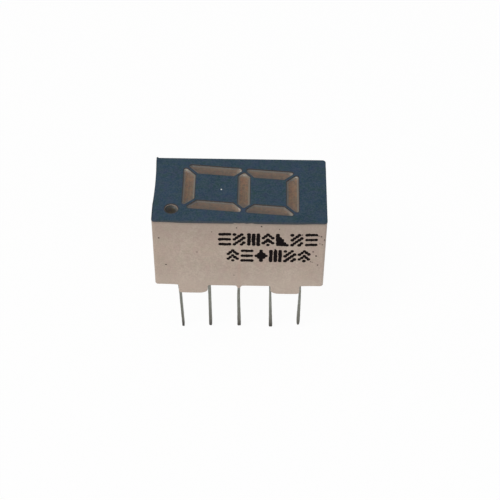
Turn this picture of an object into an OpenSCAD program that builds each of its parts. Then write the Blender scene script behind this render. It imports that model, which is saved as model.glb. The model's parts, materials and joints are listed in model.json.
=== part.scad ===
// Seven segment display with one digit and a decimal point.
//
// A white moulded reflector holds eight light wells. Each well narrows from its window in the face
// to a small mouth over a light emitting die, and is filled with cast resin. A small circuit board
// closes the wells from behind, two rows of flat leads stand in it, and potting seals the pocket.
//
// The origin is the middle of the seating plane, where the four feet meet a board. +Z points out of
// the face, +X is the top of the digit and -Y is the digit's right side.

/* [Case] */
// Length of the face, with its ink
face_len = 14; // [13.6:0.1:18]
// Width of the face, with its ink
face_wid = 7.5; // [7.2:0.1:12]
// Height of the case from its lower rim to its face
case_high = 7.4; // [5:0.1:12]
// How far each side leans in from the face down to the seating plane
case_draft = 0.04; // [0:0.01:0.2]
// Radius of the case's upright corners
case_corner_r = 0.25; // [0.1:0.05:0.5]
// Thickness of the wall around the pocket
wall = 0.5; // [0.3:0.05:0.6]
// Depth of the pocket, from the rim up to the mouths of the wells
pocket_deep = 2.6; // [1.8:0.1:4]

/* [Face ink] */
// Thickness of the ink
ink_t = 0.07; // [0.03:0.01:0.15]
// How far the ink stands out over the sides of the case
ink_over = 0.03; // [0:0.01:0.1]
// Width of bare plastic left between a window and the ink
ink_back = 0.05; // [0.02:0.01:0.1]

/* [Feet] */
// Length of each foot, along the case
foot_len = 2.4; // [1.5:0.1:4]
// Height of each foot below the rim
foot_high = 0.95; // [0.4:0.05:1.5]
// Distance from the middle of the case to the middle of each foot
foot_at = 3.8; // [2.6:0.05:4.5]
// Radius of each foot's lower corner towards the end of the case, as a share of the foot's height
foot_outer_round = 0.26; // [0.1:0.02:0.4]
// Length of the sweep at each foot's lower corner towards the middle, as a share of the foot's length
foot_sweep_len = 0.3; // [0.1:0.02:0.4]
// Height of the same sweep, as a share of the foot's height
foot_sweep_high = 0.42; // [0.1:0.02:0.6]
// Radius of the fillet between each foot and the rim, as a share of the foot's height
foot_fillet = 0.16; // [0.04:0.02:0.3]

/* [Digit] */
// Height of the digit, along the case
digit_high = 9.3; // [7.8:0.1:9.8]
// Width of the digit, before it leans
digit_wid = 5; // [4.2:0.1:5.4]
// Width of each segment's window
stroke = 0.9; // [0.7:0.02:1.1]
// Lean of the digit, in degrees
lean = 5; // [0:0.5:8]
// Clear width between two mitred windows
mitre_gap = 0.34; // [0.15:0.01:0.4]
// Clear width between the two uprights of one side
upright_gap = 0.5; // [0.2:0.02:0.6]
// Clear width between the middle bar and each upright
middle_gap = 0.28; // [0.15:0.01:0.4]
// Length of the square part of an upright's inner end
square_end = 0.3; // [0.2:0.02:0.5]
// How far the middle bar lies above the middle of the digit
bar_rise = 0.26; // [-0.2:0.05:0.3]
// Radius of the windows' corners
window_r = 0.14; // [0.04:0.01:0.15]
// Place of the middle of the digit on the face, along and across the case
digit_at = [0.05, 0.06];
// Diameter of the decimal point's window
point_d = 1; // [0.8:0.02:1.3]
// Place of the decimal point on the face, along and across the case
point_at = [-5.46, -2.22];

/* [Light wells] */
// Width of a bar's mouth as a share of its window's width
mouth_share = 0.5; // [0.4:0.05:0.8]
// How far the mouths of the uprights are drawn in, to clear the leads
mouth_inset = 0.3; // [0.2:0.05:0.4]
// How far the resin lies below the plastic in the seven bars
bar_recess = 0.06; // [0:0.01:0.2]
// How far the resin lies below the plastic in the decimal point
point_recess = 0.3; // [0:0.02:0.8]

/* [Circuit board] */
// Thickness of the circuit board
board_t = 0.8; // [0.4:0.1:1.2]
// Gap between the board's edge and the wall
board_gap = 0.08; // [0.05:0.01:0.15]
// Thickness of the copper
copper_t = 0.035; // [0.018:0.001:0.07]
// Bare edge of the board beside the common copper
copper_back = 0.12; // [0.1:0.01:0.3]
// Clear width between two copper nets
copper_gap = 0.12; // [0.08:0.01:0.15]
// Width of the copper tracks
track_wid = 0.2; // [0.12:0.01:0.3]
// Diameter of the copper land around each lead
land_d = 0.84; // [0.7:0.02:0.9]
// Diameter of the board's holes for the leads
hole_d = 0.66; // [0.62:0.01:0.7]

/* [Dice and bond wires] */
// Side of each light emitting die
die_side = 0.25; // [0.2:0.01:0.3]
// Height of each die
die_high = 0.2; // [0.1:0.01:0.3]
// Side of the copper pad under each die
pad_side = 0.4; // [0.32:0.01:0.44]
// Distance that the bond wire spans in a bar
wire_span = 0.7; // [0.5:0.02:0.76]
// Distance from a bar's bond wire to the end of the bar's mouth
wire_back = 0.06; // [0.04:0.01:0.2]
// Distance that the bond wire spans in the decimal point
point_wire_span = 0.38; // [0.36:0.01:0.4]
// Diameter of the bond wires
wire_d = 0.03; // [0.02:0.005:0.05]
// Height to which a bond wire rises straight, over its die's top
wire_rise = 0.05; // [0.02:0.01:0.1]

/* [Leads] */
// Distance between two leads of one row
lead_pitch = 2.54; // [2:0.01:2.54]
// Distance between the two rows
row_space = 5.08; // [4.9:0.01:5.08]
// Width of a lead, along the case
lead_wid = 0.25; // [0.2:0.01:0.3]
// Depth of a lead, across the case
lead_deep = 0.5; // [0.4:0.01:0.5]
// Length of a lead below the seating plane
lead_reach = 5.4; // [2.5:0.1:8]
// Length of the bevel at a lead's tip
lead_bevel = 0.12; // [0.04:0.01:0.2]
// Height of the solder under each land
solder_high = 0.4; // [0.2:0.05:0.6]
// Thickness of the solder over a lead's corners, at the foot of its cone
solder_skin = 0.04; // [0.02:0.01:0.08]

/* [Potting] */
// How far the potting lies above the rim
potting_recess = 0.2; // [0.1:0.05:0.8]

/* [Hidden] */
$fn = 48;
eps = 0.01;
corner_steps = 6;
window_steps = 4;

// Levels
face_z = foot_high + case_high;
block_z = face_z - ink_t;
mouth_z = foot_high + pocket_deep;
board_z = mouth_z - copper_t;
board_low_z = board_z - board_t;
land_z = board_low_z - copper_t;
potting_z = foot_high + potting_recess;

// Plan sizes
case_len = face_len - 2 * ink_over;
case_wid = face_wid - 2 * ink_over;
pocket_len = case_len - 2 * case_draft - 2 * wall;
pocket_wid = case_wid - 2 * case_draft - 2 * wall;
board_len = pocket_len - 2 * board_gap;
board_wid = pocket_wid - 2 * board_gap;
solder_foot_d = norm([lead_wid, lead_deep]) + 2 * solder_skin;

// The digit
half_high = digit_high / 2;
half_wid = digit_wid / 2;
mitre = mitre_gap / sqrt(2);
bar_tip = half_wid - square_end + upright_gap / 2 - middle_gap * sqrt(2);
bar_shoulder = bar_tip - stroke / 2;

letters = ["a", "b", "c", "d", "e", "f", "g", "point"];
bars = [0 : 6];
point = 7;
lead_count = 10;
row_count = lead_count / 2;
leads = [1 : lead_count];
// The lead that each segment's net ends at: a, b, c, d, e, f, g, point
net_lead = [10, 9, 7, 5, 4, 2, 1, 6];

// ---- Outlines -------------------------------------------------------------------------------------

function unit(v) = v / norm(v);

function twice_area(points) =
    let (n = len(points), turns = [for (i = [0 : n - 1]) cross(points[i], points[(i + 1) % n])])
    turns * [for (t = turns) 1];

// The same points, always anticlockwise
function anticlockwise(points) =
    twice_area(points) > 0 ? points : [for (i = [len(points) - 1 : -1 : 0]) points[i]];

// Half of the angle between the two edges that meet at point i
function half_angle(back, ahead) = acos(back * ahead) / 2;

// A convex outline with every corner turned into an arc of radius r
function rounded(points, r, steps) =
    let (n = len(points))
    [
        for (i = [0 : n - 1])
            let (
                here = points[i],
                back = unit(points[(i + n - 1) % n] - here),
                ahead = unit(points[(i + 1) % n] - here),
                half = half_angle(back, ahead),
                centre = here + unit(back + ahead) * r / sin(half),
                start = atan2(back.x, -back.y),
                sweep = 180 - 2 * half
            )
            for (k = [0 : steps])
                centre + r * [cos(start + sweep * k / steps), sin(start + sweep * k / steps)]
    ];

// A convex outline with every edge moved out by the same distance
function grown(points, distance) =
    let (n = len(points))
    [
        for (i = [0 : n - 1])
            let (
                here = points[i],
                back = unit(points[(i + n - 1) % n] - here),
                ahead = unit(points[(i + 1) % n] - here)
            )
            here - unit(back + ahead) * distance / sin(half_angle(back, ahead))
    ];

function rectangle(length, width) = [
    [-length / 2, -width / 2],
    [length / 2, -width / 2],
    [length / 2, width / 2],
    [-length / 2, width / 2]
];

// ---- The digit's windows --------------------------------------------------------------------------

// The bar at the digit's top (end 1) or foot (end -1), in the upright digit
function end_bar(end) = [
    [end * half_high, half_wid - mitre],
    [end * half_high, mitre - half_wid],
    [end * (half_high - stroke), stroke + mitre - half_wid],
    [end * (half_high - stroke), half_wid - stroke - mitre]
];

// An upright of the digit's top (end 1) or bottom half, on its left (side 1) or right (side -1)
function upright(end, side) = [
    [end * (half_high - mitre), side * half_wid],
    [bar_rise + end * upright_gap / 2, side * half_wid],
    [bar_rise + end * upright_gap / 2, side * (half_wid - square_end)],
    [bar_rise + end * (upright_gap / 2 + stroke - square_end), side * (half_wid - stroke)],
    [end * (half_high - stroke - mitre), side * (half_wid - stroke)]
];

// The six sided middle bar
function middle_bar() = [
    [bar_rise, bar_tip],
    [bar_rise + stroke / 2, bar_shoulder],
    [bar_rise + stroke / 2, -bar_shoulder],
    [bar_rise, -bar_tip],
    [bar_rise - stroke / 2, -bar_shoulder],
    [bar_rise - stroke / 2, bar_shoulder]
];

bar_outlines = [
    end_bar(1), upright(1, -1), upright(-1, -1), end_bar(-1), upright(-1, 1), upright(1, 1), middle_bar()
];

// The middle of each bar
bar_middles = [
    [half_high - stroke / 2, 0],
    [(bar_rise + half_high) / 2, stroke / 2 - half_wid],
    [(bar_rise - half_high) / 2, stroke / 2 - half_wid],
    [stroke / 2 - half_high, 0],
    [(bar_rise - half_high) / 2, half_wid - stroke / 2],
    [(bar_rise + half_high) / 2, half_wid - stroke / 2],
    [bar_rise, 0]
];

// Half of each window's length, along the middle of its bar to the nearer end
end_bar_reach = half_wid - mitre - stroke / 2;
upper_reach = (half_high - bar_rise - stroke) / 2 - mitre;
lower_reach = (half_high + bar_rise - stroke) / 2 - mitre;
window_reaches = [end_bar_reach, upper_reach, lower_reach, end_bar_reach, lower_reach, upper_reach, bar_tip];

// The bars that lie across the digit, and the way that each bar's mouth is drawn in
crossbars = [0, 3, 6];
mouth_moves = [0, 1, 1, 0, -1, -1, 0];

// A point of the upright digit leant over, and the same in its place on the face
function leant(p) = [p.x, p.y - tan(lean) * p.x];
function placed(p) = leant(p) + digit_at;

function window(i, growth = 0) =
    rounded(
        grown(anticlockwise([for (p = bar_outlines[i]) placed(p)]), growth),
        window_r + growth,
        window_steps
    );

// The middle of a well's mouth, over its die
function mouth_at(i) =
    i == point ? point_at : placed(bar_middles[i]) + [0, mouth_moves[i] * mouth_inset];

// How far the ends of a bar's mouth are moved apart, so that its bond wire fits beside its die
function mouth_stretch(i) = wire_span + wire_d / 2 + wire_back - mouth_share * window_reaches[i];

// The way out from the middle of a bar, along the bar, to the end that a point belongs to
function way_out(i, from_middle) =
    search(i, crossbars) == []
    ? leant([sign(from_middle.x), 0])
    : [0, sign(from_middle.y)];

// The outline of a well at height z: it grows evenly from its mouth to its window
function well_section(i, z) =
    let (
        rise = (z - mouth_z) / (block_z - mouth_z),
        share = mouth_share + (1 - mouth_share) * rise,
        stretch = mouth_stretch(i) * (1 - rise),
        middle = mouth_at(i) * (1 - rise) + placed(bar_middles[i]) * rise
    )
    [
        for (p = window(i))
            let (from_middle = p - placed(bar_middles[i]))
            middle + share * from_middle + stretch * way_out(i, from_middle)
    ];

// ---- Leads ----------------------------------------------------------------------------------------

// Leads 1 to 5 go down the digit's left side, and 6 to 10 come back up its right side
function lead_at(n) =
    n <= row_count
    ? [lead_pitch * ((row_count + 1) / 2 - n), row_space / 2]
    : [lead_pitch * (n - lead_count + (row_count - 1) / 2), -row_space / 2];

// ---- Dice and bond wires --------------------------------------------------------------------------

// The bond wires run along the uprights, along the bars, and away from the digit at the point
wire_ways = [90, 0, 0, 90, 0, 0, 90, 180];

function span(i) = i == point ? point_wire_span : wire_span;

// The middle bar's track goes round the upper right of the board, and the others run straight
function track(i) =
    letters[i] == "g"
    ? [mouth_at(i), [(mouth_at(0).x + mouth_at(5).x) / 2, mouth_at(i).y + pad_side], lead_at(net_lead[i])]
    : [mouth_at(i), lead_at(net_lead[i])];

// ---- Shared shapes --------------------------------------------------------------------------------

// A solid between two outlines of as many points, at two heights
module loft(low, high, low_z, high_z) {
    n = len(low);
    polyhedron(
        points = concat([for (p = low) [p.x, p.y, low_z]], [for (p = high) [p.x, p.y, high_z]]),
        faces = concat(
            [[for (i = [0 : n - 1]) i]],
            [for (i = [0 : n - 1]) [i, n + i, n + (i + 1) % n, (i + 1) % n]],
            [[for (i = [n - 1 : -1 : 0]) n + i]]
        )
    );
}

// The space of a well between two heights
module well(i, low_z, high_z) {
    if (i == point)
        translate([point_at.x, point_at.y, low_z]) cylinder(d = point_d, h = high_z - low_z);
    else
        loft(well_section(i, low_z), well_section(i, high_z), low_z, high_z);
}

// A block of the given plan size, with its underside at low_z
module slab(length, width, low_z, high_z) {
    translate([-length / 2, -width / 2, low_z]) cube([length, width, high_z - low_z]);
}

module at_leads() {
    for (n = leads) translate(lead_at(n)) children();
}

module lead_holes(low_z, high_z) {
    at_leads() translate([0, 0, low_z]) cylinder(d = hole_d, h = high_z - low_z);
}

// ---- Case and ink ---------------------------------------------------------------------------------

function face_outline() =
    rounded(rectangle(face_len, face_wid), case_corner_r + ink_over, corner_steps);

// The case's outside, which leans in from the face down to the seating plane
module case_outside() {
    lean_in = case_draft * block_z / face_z;
    loft(
        rounded(rectangle(case_len - 2 * lean_in, case_wid - 2 * lean_in), case_corner_r, corner_steps),
        rounded(rectangle(case_len, case_wid), case_corner_r, corner_steps),
        0,
        block_z
    );
}

// An arc of a circle or an ellipse between two angles, as points
function arc(centre, radii, start, end) = [
    for (k = [0 : corner_steps])
        let (angle = start + (end - start) * k / corner_steps)
        centre + [radii.x * cos(angle), radii.y * sin(angle)]
];

// A foot's side view, with the middle of the case on its right: its lower corners are rounded, the
// inner one in a long sweep, a fillet widens it into the rim, and its top is up in the wall
function foot_outline() =
    let (
        half = foot_len / 2,
        outer_r = foot_high * foot_outer_round,
        sweep = [foot_len * foot_sweep_len, foot_high * foot_sweep_high],
        fillet = foot_high * foot_fillet
    )
    concat(
        arc([-half - fillet, foot_high - fillet], [fillet, fillet], 90, 0),
        arc([outer_r - half, outer_r], [outer_r, outer_r], 180, 270),
        arc([half - sweep.x, sweep.y], sweep, 270, 360),
        arc([half + fillet, foot_high - fillet], [fillet, fillet], 180, 90),
        [[half + fillet, foot_high + wall], [-half - fillet, foot_high + wall]]
    );

// What is cut away under the rim between the feet
module under_rim() {
    difference() {
        slab(face_len + 1, face_wid + 1, -1, foot_high);
        for (side = [-1, 1])
            translate([side * foot_at, face_wid, 0])
                rotate([90, 0, 0])
                    linear_extrude(2 * face_wid)
                        polygon([for (p = foot_outline()) [-side * p.x, p.y]]);
    }
}

module reflector_case() {
    color("linen")
        difference() {
            case_outside();
            under_rim();
            slab(pocket_len, pocket_wid, -1, mouth_z);
            for (i = bars) well(i, mouth_z - eps, block_z + eps);
            well(point, mouth_z - eps, block_z + eps);
        }
}

module face_ink() {
    color("darkslategray")
        translate([0, 0, block_z])
            linear_extrude(ink_t)
                difference() {
                    polygon(face_outline());
                    for (i = bars) polygon(window(i, ink_back));
                    translate(point_at) circle(d = point_d + 2 * ink_back);
                }
}

// ---- Resin in the wells ---------------------------------------------------------------------------

module segment(i) {
    top_z = block_z - (i == point ? point_recess : bar_recess);
    color("rosybrown")
        difference() {
            well(i, mouth_z, top_z);
            die_space(i);
            wire_space(i);
        }
}

// ---- Dice and bond wires --------------------------------------------------------------------------

module die_space(i) {
    middle = mouth_at(i);
    translate([middle.x - die_side / 2, middle.y - die_side / 2, mouth_z])
        cube([die_side, die_side, die_high]);
}

module die(i) {
    color("gold") die_space(i);
}

// The wire stands on the die, turns over in a half circle and comes down to the copper
module wire_space(i) {
    middle = mouth_at(i);
    radius = span(i) / 2;
    turn_z = die_high + wire_rise;
    translate([middle.x, middle.y, mouth_z])
        rotate([0, 0, wire_ways[i]]) {
            translate([0, 0, die_high]) cylinder(d = wire_d, h = wire_rise, $fn = 8);
            translate([2 * radius, 0, 0]) cylinder(d = wire_d, h = turn_z, $fn = 8);
            translate([radius, 0, turn_z])
                rotate([90, 0, 0])
                    rotate_extrude(angle = 180) translate([radius, 0]) circle(d = wire_d, $fn = 8);
        }
}

module bond_wire(i) {
    color("goldenrod") wire_space(i);
}

// ---- Circuit board --------------------------------------------------------------------------------

module circuit_board() {
    color("seagreen")
        difference() {
            slab(board_len, board_wid, board_low_z, board_z);
            lead_holes(board_low_z - eps, board_z + eps);
        }
}

// One net of the upper copper in plan: the pad under the die, the track and the lead's land
module net(i, growth = 0) {
    route = track(i);
    width = track_wid + 2 * growth;
    pad = pad_side + 2 * growth;
    translate(mouth_at(i)) square(pad, center = true);
    for (k = [1 : len(route) - 1]) {
        step = route[k] - route[k - 1];
        translate(route[k - 1])
            rotate(atan2(step.y, step.x)) translate([0, -width / 2]) square([norm(step), width]);
        translate(route[k]) circle(d = width);
    }
    translate(lead_at(net_lead[i])) circle(d = land_d + 2 * growth);
}

// The common copper fills the rest of the board, and takes in the lands of the middle leads
module common_net() {
    difference() {
        square([board_len - 2 * copper_back, board_wid - 2 * copper_back], center = true);
        for (i = [0 : point]) net(i, copper_gap);
    }
}

module board_plan() {
    square([board_len, board_wid], center = true);
}

module copper_top() {
    color("orange")
        translate([0, 0, board_z])
            linear_extrude(copper_t)
                difference() {
                    union() {
                        common_net();
                        intersection() {
                            board_plan();
                            for (i = [0 : point]) net(i);
                        }
                    }
                    at_leads() circle(d = hole_d);
                }
}

module copper_bottom() {
    color("orange")
        translate([0, 0, land_z])
            linear_extrude(copper_t)
                intersection() {
                    board_plan();
                    at_leads() difference() {
                        circle(d = land_d);
                        circle(d = hole_d);
                    }
                }
}

// ---- Leads, solder and potting --------------------------------------------------------------------

// A flat lead with a bevelled tip, from the copper's top down past the seating plane
module lead_space(n) {
    half = lead_wid / 2;
    tip = half - lead_bevel / 2;
    translate(concat(lead_at(n), 0))
        translate([0, lead_deep / 2, 0])
            rotate([90, 0, 0])
                linear_extrude(lead_deep)
                    polygon([
                        [-tip, -lead_reach],
                        [tip, -lead_reach],
                        [half, lead_bevel - lead_reach],
                        [half, mouth_z],
                        [-half, mouth_z],
                        [-half, lead_bevel - lead_reach]
                    ]);
}

module lead(n) {
    color("silver") lead_space(n);
}

// Solder fills the hole round the lead and stands as a cone under the land
module solder_space(n) {
    translate(concat(lead_at(n), 0)) {
        translate([0, 0, land_z]) cylinder(d = hole_d, h = mouth_z - land_z);
        translate([0, 0, land_z - solder_high])
            cylinder(d1 = solder_foot_d, d2 = (hole_d + land_d) / 2, h = solder_high);
    }
}

module solder(n) {
    color("lightgray")
        difference() {
            solder_space(n);
            lead_space(n);
        }
}

module back_potting() {
    color("tan")
        difference() {
            slab(pocket_len, pocket_wid, potting_z, board_z);
            slab(board_len, board_wid, board_low_z, board_z + eps);
            translate([0, 0, land_z])
                linear_extrude(copper_t + eps) intersection() {
                    board_plan();
                    at_leads() circle(d = land_d);
                }
            for (n = leads) {
                solder_space(n);
                lead_space(n);
            }
        }
}

// ---- Nodes ----------------------------------------------------------------------------------------

reflector_case();
face_ink();
for (i = [0 : point]) segment(i);
circuit_board();
copper_top();
copper_bottom();
for (i = [0 : point]) die(i);
for (i = [0 : point]) bond_wire(i);
for (n = leads) lead(n);
for (n = leads) solder(n);
back_potting();
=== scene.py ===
# %% [markdown] # A seven segment display, dressed on its CAD frame  The object is a small numeral
# display: a white moulded case with a dark printed face, seven bar windows and a round point
# filled with cloudy resin, and two rows of flat tinned leads. The CAD frame holds every size. This
# script adds the finishes, and the soft shapes that casting, printing and soldering leave behind.
# Blender counts in metres here, and `MM` turns millimetres into them.

# %% Load the frame
import json
import math
import random

import bmesh
import bpy
from mathutils import Color, Matrix, Vector, geometry, noise


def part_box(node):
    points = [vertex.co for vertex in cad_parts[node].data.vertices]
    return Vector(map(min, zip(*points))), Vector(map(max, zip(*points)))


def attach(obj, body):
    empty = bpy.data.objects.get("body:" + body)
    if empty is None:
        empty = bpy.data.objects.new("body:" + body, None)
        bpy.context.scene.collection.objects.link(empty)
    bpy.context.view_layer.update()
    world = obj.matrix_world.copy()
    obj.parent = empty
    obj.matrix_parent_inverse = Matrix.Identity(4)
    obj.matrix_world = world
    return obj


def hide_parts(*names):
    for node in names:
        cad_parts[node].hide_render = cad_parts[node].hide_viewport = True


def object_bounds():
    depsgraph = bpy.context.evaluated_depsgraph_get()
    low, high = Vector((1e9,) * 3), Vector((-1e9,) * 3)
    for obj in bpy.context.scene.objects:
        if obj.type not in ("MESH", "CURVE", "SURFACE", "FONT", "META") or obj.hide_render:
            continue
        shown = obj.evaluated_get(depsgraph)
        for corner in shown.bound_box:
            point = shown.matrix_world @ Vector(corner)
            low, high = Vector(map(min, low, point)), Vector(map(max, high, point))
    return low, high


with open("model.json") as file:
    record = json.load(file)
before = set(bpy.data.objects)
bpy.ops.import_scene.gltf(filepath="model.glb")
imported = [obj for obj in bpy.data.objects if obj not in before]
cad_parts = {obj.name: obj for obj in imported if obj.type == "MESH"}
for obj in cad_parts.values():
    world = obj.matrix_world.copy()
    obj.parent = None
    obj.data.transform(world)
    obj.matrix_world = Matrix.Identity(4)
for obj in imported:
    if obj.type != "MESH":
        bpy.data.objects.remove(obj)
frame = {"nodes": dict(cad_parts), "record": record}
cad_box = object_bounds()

MM = 0.001
print("loaded", len(frame["nodes"]), "nodes, box in mm:", [round(c / MM, 2) for c in cad_box[1] - cad_box[0]])

# %% [markdown] ## Sizes from the frame  A shape that has to sit on the CAD model takes its size
# from it. Only the sizes of the finish itself, such as how far a print's edge wanders, are written
# here. In the shapes below, a size that ends in `* MM` is in metres and a bare one is in
# millimetres, because most of their rules count in them. The heights of the case's brim, of the
# face and of the leads' tips are bare too.

# %% Measure what the finishes sit on
ink_low, ink_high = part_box("face_ink")
case_low, case_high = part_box("reflector_case")
potting_low, potting_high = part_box("back_potting")
board_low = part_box("circuit_board")[0]
floor_z = cad_box[0].z
brim_z, face_z, tips_z = case_high.z / MM, ink_high.z / MM, floor_z / MM
case_points = [vertex.co.copy() for vertex in frame["nodes"]["reflector_case"].data.vertices]
print("brim, face and lead tips at", [round(z, 3) for z in (brim_z, face_z, tips_z)], "mm")

# %% [markdown]
# ## Camera
#
# The display is seen from its long side, from a little over forty five degrees up, through a long
# lens: the sides lean together only slightly. Three turns and a distance from one aimed point say
# all of that, and they are easier to change than a position.

# %% Place the camera
VIEW_ELEVATION = 46.17
VIEW_TURN = 0.33
VIEW_ROLL = 0.62
VIEW_AIM = Vector((0.85 * MM, 0.0, ink_high.z - 6.934 * MM))
VIEW_DISTANCE = 121.6 * MM
LENS = 104.0
CLIP_NEAR, CLIP_FAR = 10 * MM, 10000 * MM


def linked(name, data):
    """An object that holds the data, linked to the scene."""
    thing = bpy.data.objects.new(name, data)
    bpy.context.scene.collection.objects.link(thing)
    return thing


def add_camera():
    """A camera that looks at the aimed point from the wanted side, then rolls a little."""
    rise, turn = math.radians(VIEW_ELEVATION), math.radians(VIEW_TURN)
    back = Vector((math.sin(turn) * math.cos(rise), -math.cos(turn) * math.cos(rise), math.sin(rise)))
    data = bpy.data.cameras.new("camera")
    data.lens = LENS
    data.clip_start = CLIP_NEAR
    data.clip_end = CLIP_FAR
    camera = linked("camera", data)
    aim = (-back).to_track_quat("-Z", "Y").to_matrix().to_4x4()
    roll = Matrix.Rotation(math.radians(VIEW_ROLL), 4, "Z")
    camera.matrix_world = Matrix.Translation(VIEW_AIM + back * VIEW_DISTANCE) @ aim @ roll
    bpy.context.scene.camera = camera
    return camera


camera = add_camera()
print("camera at", [round(c / MM, 1) for c in camera.matrix_world.translation], "mm")

# %% [markdown]
# ## Tools for node trees
#
# Finishes, the floor and the sprayed dots are all node trees. One helper makes a node and feeds
# its sockets, each from a plain value or from another node, so that a tree reads as a short list.
# Colours are written as they look on a screen and turned into linear light.

# %% Colour and node helpers
def screen(red, green, blue):
    """A colour as it looks on a screen, 0 to 255, as linear light."""
    return (*Color((red / 255, green / 255, blue / 255)).from_srgb_to_scene_linear(), 1.0)


def new_node(tree, kind, fed=None, **settings):
    """A node with its sockets fed: by a value, by an output, or by a node's first output."""
    node = tree.nodes.new(kind)
    for name, setting in settings.items():
        setattr(node, name, setting)
    for socket, value in (fed or {}).items():
        if isinstance(value, bpy.types.Node):
            value = value.outputs[0]
        if isinstance(value, bpy.types.NodeSocket):
            tree.links.new(value, node.inputs[socket])
        else:
            node.inputs[socket].default_value = value
    return node


def sums(tree, kind, first, second=0.0):
    """Two values, each a number or an output, through one sum."""
    return new_node(tree, "ShaderNodeMath", {0: first, 1: second}, operation=kind).outputs[0]


print("mid grey on a screen is", round(screen(128, 128, 128)[0], 3), "as light")

# %% [markdown]
# ## Tools for finishes
#
# Each finish is laid on one Principled shader, coat by coat: a base colour, then other colours
# through masks. A mask is mostly noise, stretched so that it shows as patches. Patterns read Object
# coordinates in millimetres, and a pattern's size is the size of its spots and not a scale.

# %% The coats of a finish
class Finish:
    """One material, with short calls for the kinds of pattern that the finishes share."""

    def __init__(self, name, base, roughness, **constants):
        self.material = bpy.data.materials.new(name)
        self.material.use_nodes = True
        self.tree = self.material.node_tree
        self.shader = self.tree.nodes["Principled BSDF"]
        for socket, value in {"Roughness": roughness, **constants}.items():
            self.shader.inputs[socket.replace("_", " ")].default_value = value
        coordinates = new_node(self.tree, "ShaderNodeTexCoord").outputs["Object"]
        self.place = self.output("Mapping", 0, {"Vector": coordinates, "Scale": (1 / MM, 1 / MM, 1 / MM)})
        self.colour = base

    def output(self, kind, wanted, fed, **settings):
        """One output of a new node."""
        return new_node(self.tree, f"ShaderNode{kind}", fed, **settings).outputs[wanted]

    def stretched(self, x, y, z):
        """The same place, with each axis multiplied, so that spots become streaks."""
        return self.output("VectorMath", "Vector", {0: self.place, 1: (x, y, z)}, operation="MULTIPLY")

    def spots(self, size, detail=2.0, rough=0.5, place=None):
        """Smooth noise with spots of that size, from 0 to 1."""
        fed = {"Vector": place or self.place, "Scale": 1 / size, "Detail": detail, "Roughness": rough}
        return self.output("TexNoise", "Fac", fed)

    def cells(self, size):
        """The distance to the nearest of scattered points, in shares of the cells' size."""
        return self.output("TexVoronoi", "Distance", {"Vector": self.place, "Scale": 1 / size})

    def ramp(self, value, start, end, low=0.0, high=1.0):
        """The value, eased so that start becomes low and end becomes high, and held there."""
        fed = {"Value": value, "From Min": start, "From Max": end, "To Min": low, "To Max": high}
        return self.output("MapRange", "Result", fed, interpolation_type="SMOOTHSTEP")

    def patches(self, size, start, end, share=1.0, detail=3.0, rough=0.6, place=None):
        """Spots that show where the noise passes from start to end, as strong as the share."""
        return self.ramp(self.spots(size, detail, rough, place), start, end, 0.0, share)

    def sheen(self, size, low, high, detail=2.0):
        """A roughness that drifts between two values."""
        return self.ramp(self.spots(size, detail), 0.3, 0.7, low, high)

    def axis(self, letter):
        """One coordinate of the place."""
        return self.output("SeparateXYZ", letter, {0: self.place})

    def near(self, point, radius, softness):
        """1 within the radius of a point, falling to 0 over the softness."""
        away = self.output("VectorMath", "Value", {0: self.place, 1: point}, operation="DISTANCE")
        return self.ramp(away, radius, radius + softness, 1.0, 0.0)

    def painted(self, name):
        """A value that the mesh carries at each of its points."""
        return self.output("Attribute", "Fac", {}, attribute_name=name)

    def painted_place(self, across, along, slow):
        """Two painted values as a place, so that spots on it run with a bar. Slow stretches them."""
        fed = {"X": self.painted(across), "Y": self.both(self.painted(along), slow)}
        return self.output("CombineXYZ", "Vector", fed)

    def both(self, first, second):
        """Two masks, or a mask and a share, multiplied."""
        return sums(self.tree, "MULTIPLY", first, second)

    def mix(self, mask, first, second):
        """A colour between two, each a screen colour or an output."""
        first, second = [screen(*tint) if isinstance(tint, tuple) else tint for tint in (first, second)]
        return self.output("Mix", 2, {0: mask, 6: first, 7: second}, data_type="RGBA")

    def coat(self, mask, colour):
        """Another colour over what is there, as strong as the mask."""
        self.colour = self.mix(mask, self.colour, colour)

    def bump(self, height, depth, strength=0.5, over=None):
        """A surface normal from a height pattern, over another normal where one is given."""
        fed = {"Height": height, "Distance": depth * MM, "Strength": strength}
        if over is not None:
            fed["Normal"] = over
        return self.output("Bump", "Normal", fed)

    def finish(self, roughness=None, normal=None):
        """The material, once its colour and its patterns are linked to the shader."""
        for value, socket in ((self.colour, "Base Color"), (roughness, "Roughness"), (normal, "Normal")):
            if value is not None:
                self.tree.links.new(value, self.shader.inputs[socket])
        return self.material


print("kinds of pattern:", ", ".join(name for name in vars(Finish) if not name.startswith("_")))
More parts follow.
